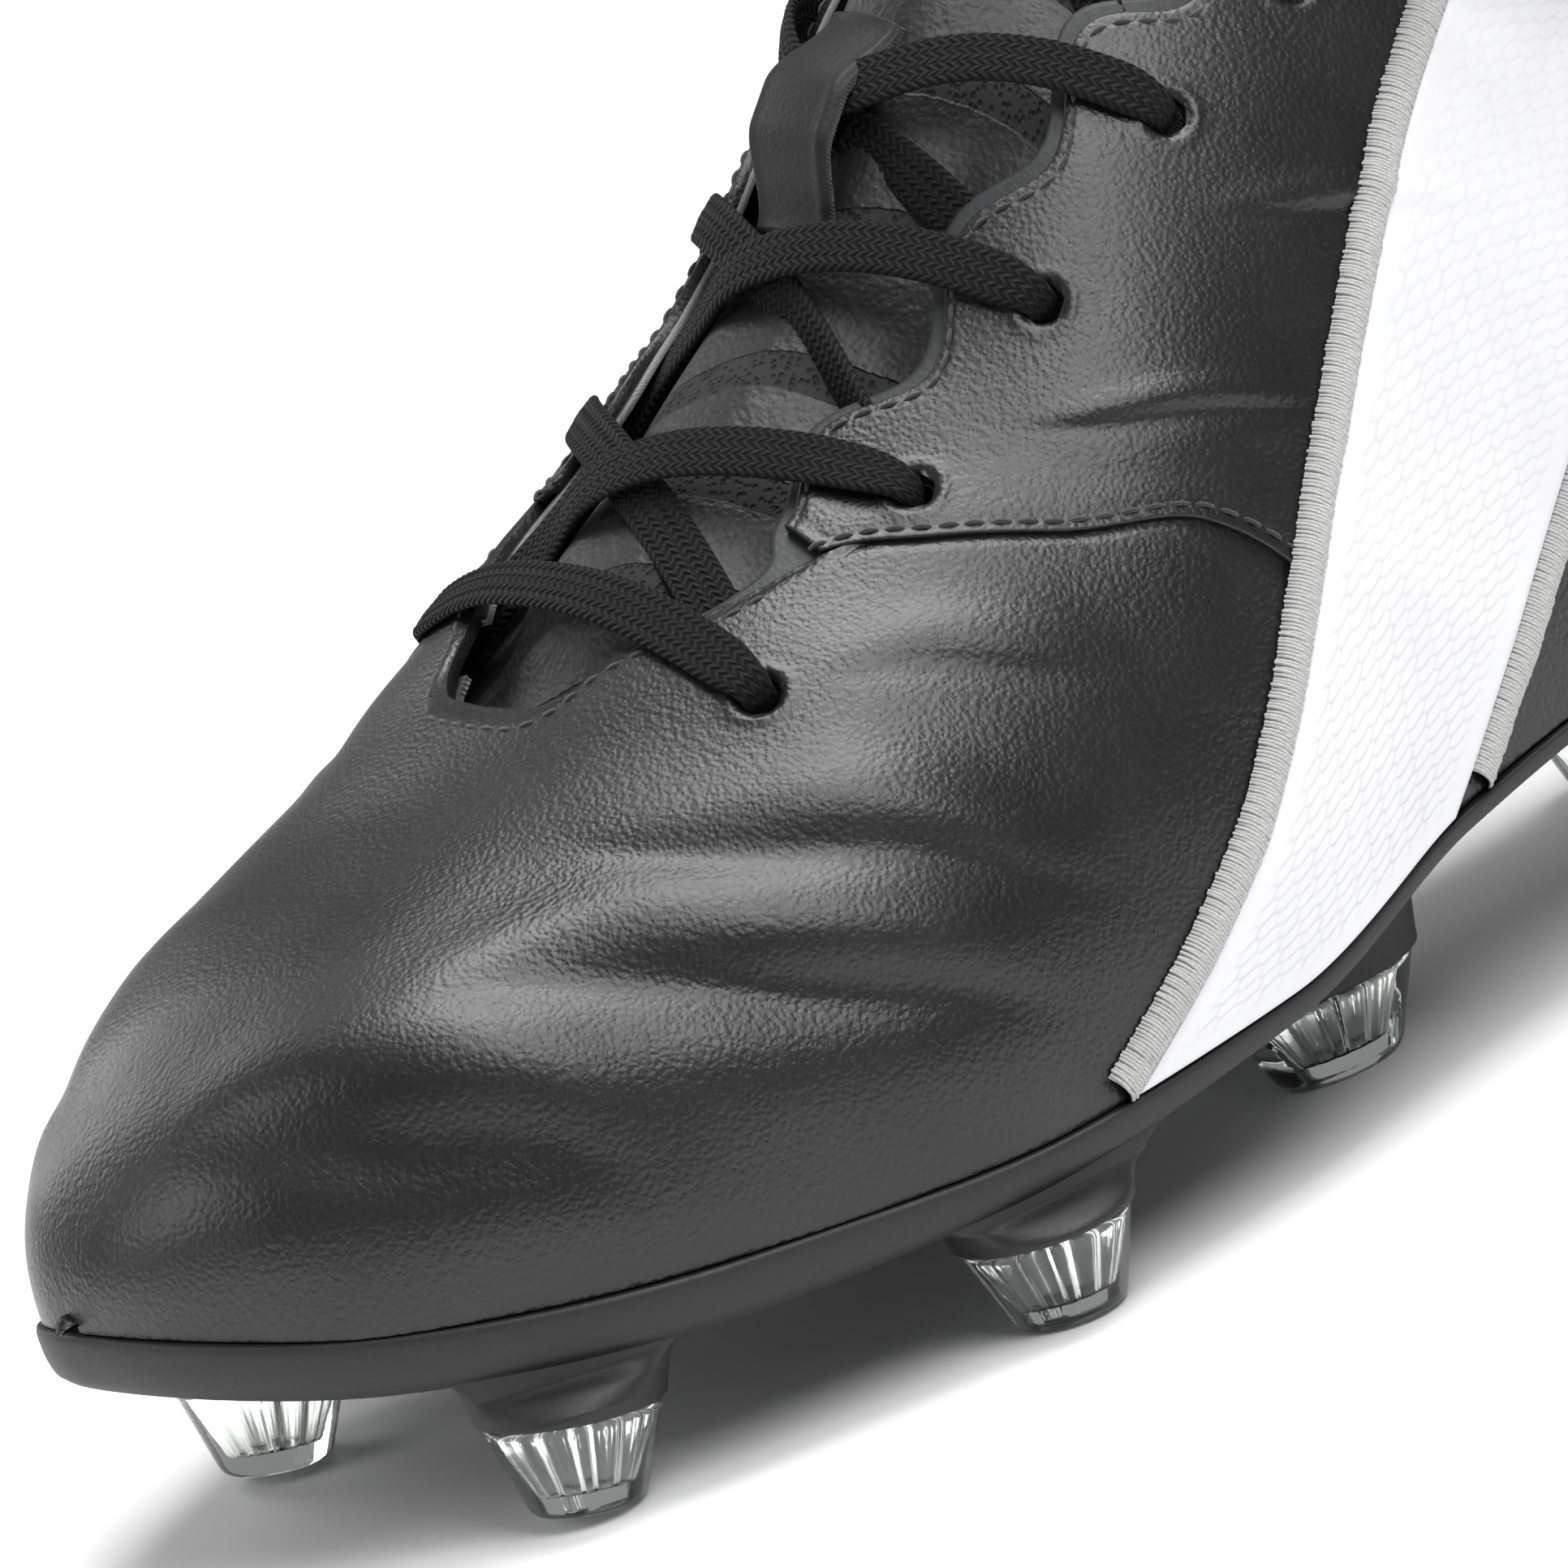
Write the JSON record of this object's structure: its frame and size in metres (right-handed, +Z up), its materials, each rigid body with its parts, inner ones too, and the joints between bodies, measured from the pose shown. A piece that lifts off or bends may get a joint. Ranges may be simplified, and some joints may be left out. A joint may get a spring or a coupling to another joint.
{
  "type": "soccer cleat",
  "caption": "Left football boot: laced black leather upper with a slanted white side band, tied laces, and a moulded sole with clear-tipped studs.",
  "frame": {"origin": "on the ground under the middle of the boot's box", "axes": "+Z up, toe towards -Y, outer (lateral) side of this left boot towards +X"},
  "size_m": [0.1016, 0.2816, 0.1464],
  "materials": {
    "black_leather": "semi-gloss grained",
    "white_band": "satin, fine hexagonal emboss",
    "band_thread": "satin stitch",
    "outsole": "matte moulded",
    "clear_stud": "clear moulded plastic, slightly green-grey",
    "black_lace": "flat woven",
    "tongue_synthetic": "grained synthetic",
    "facing_synthetic": "grained, pale cut edge",
    "lining_textile": "brushed felt",
    "sock_textile": "knit",
    "foam": "closed cell foam",
    "stiffener_board": "fibre board",
    "aglet_plastic": "shrunk clear-black film"
  },
  "bodies": {
    "shoe": {"aglet_lateral": "aglet_plastic", "aglet_medial": "aglet_plastic", "band_stitching_lateral": "band_thread", "band_stitching_medial": "band_thread", "bow_knot": "black_lace", "bow_loop_lateral": "black_lace", "bow_loop_medial": "black_lace", "collar_foam_lateral": "foam", "collar_foam_medial": "foam", "collar_lining_lateral": "lining_textile", "collar_lining_medial": "lining_textile", "eyelet_facing_lateral": "facing_synthetic", "eyelet_facing_medial": "facing_synthetic", "heel_counter_lateral": "stiffener_board", "heel_counter_medial": "stiffener_board", "heel_patch": "black_leather", "insole_board": "stiffener_board", "lace": "black_lace", "lace_keeper": "tongue_synthetic", "lace_tail_lateral": "black_lace", "lace_tail_medial": "black_lace", "outsole_plate": "outsole", "quarter_lateral": "black_leather", "quarter_medial": "black_leather", "side_band_lateral": "white_band", "side_band_medial": "white_band", "stud_tip_ball_lateral": "clear_stud", "stud_tip_ball_medial": "clear_stud", "stud_tip_front_lateral": "clear_stud", "stud_tip_front_medial": "clear_stud", "stud_tip_heel_front_lateral": "clear_stud", "stud_tip_heel_front_medial": "clear_stud", "stud_tip_heel_rear_lateral": "clear_stud", "stud_tip_heel_rear_medial": "clear_stud", "stud_tip_waist_lateral": "clear_stud", "stud_tip_waist_medial": "clear_stud", "toe_puff": "stiffener_board", "tongue_foam": "foam", "tongue_lining": "lining_textile", "tongue_skin": "tongue_synthetic", "vamp": "black_leather", "vamp_lining": "lining_textile"},
    "sockliner": {"sockliner_foam": "foam", "sockliner_cover": "sock_textile"}
  },
  "joints": [
    {"name": "sockliner_lift", "type": "hinge", "parent": "shoe", "child": "sockliner", "pos_m": [-0.0137, -0.1301, 0.0325], "axis": [1, 0, 0], "range_deg": [0, 4]}
  ]
}
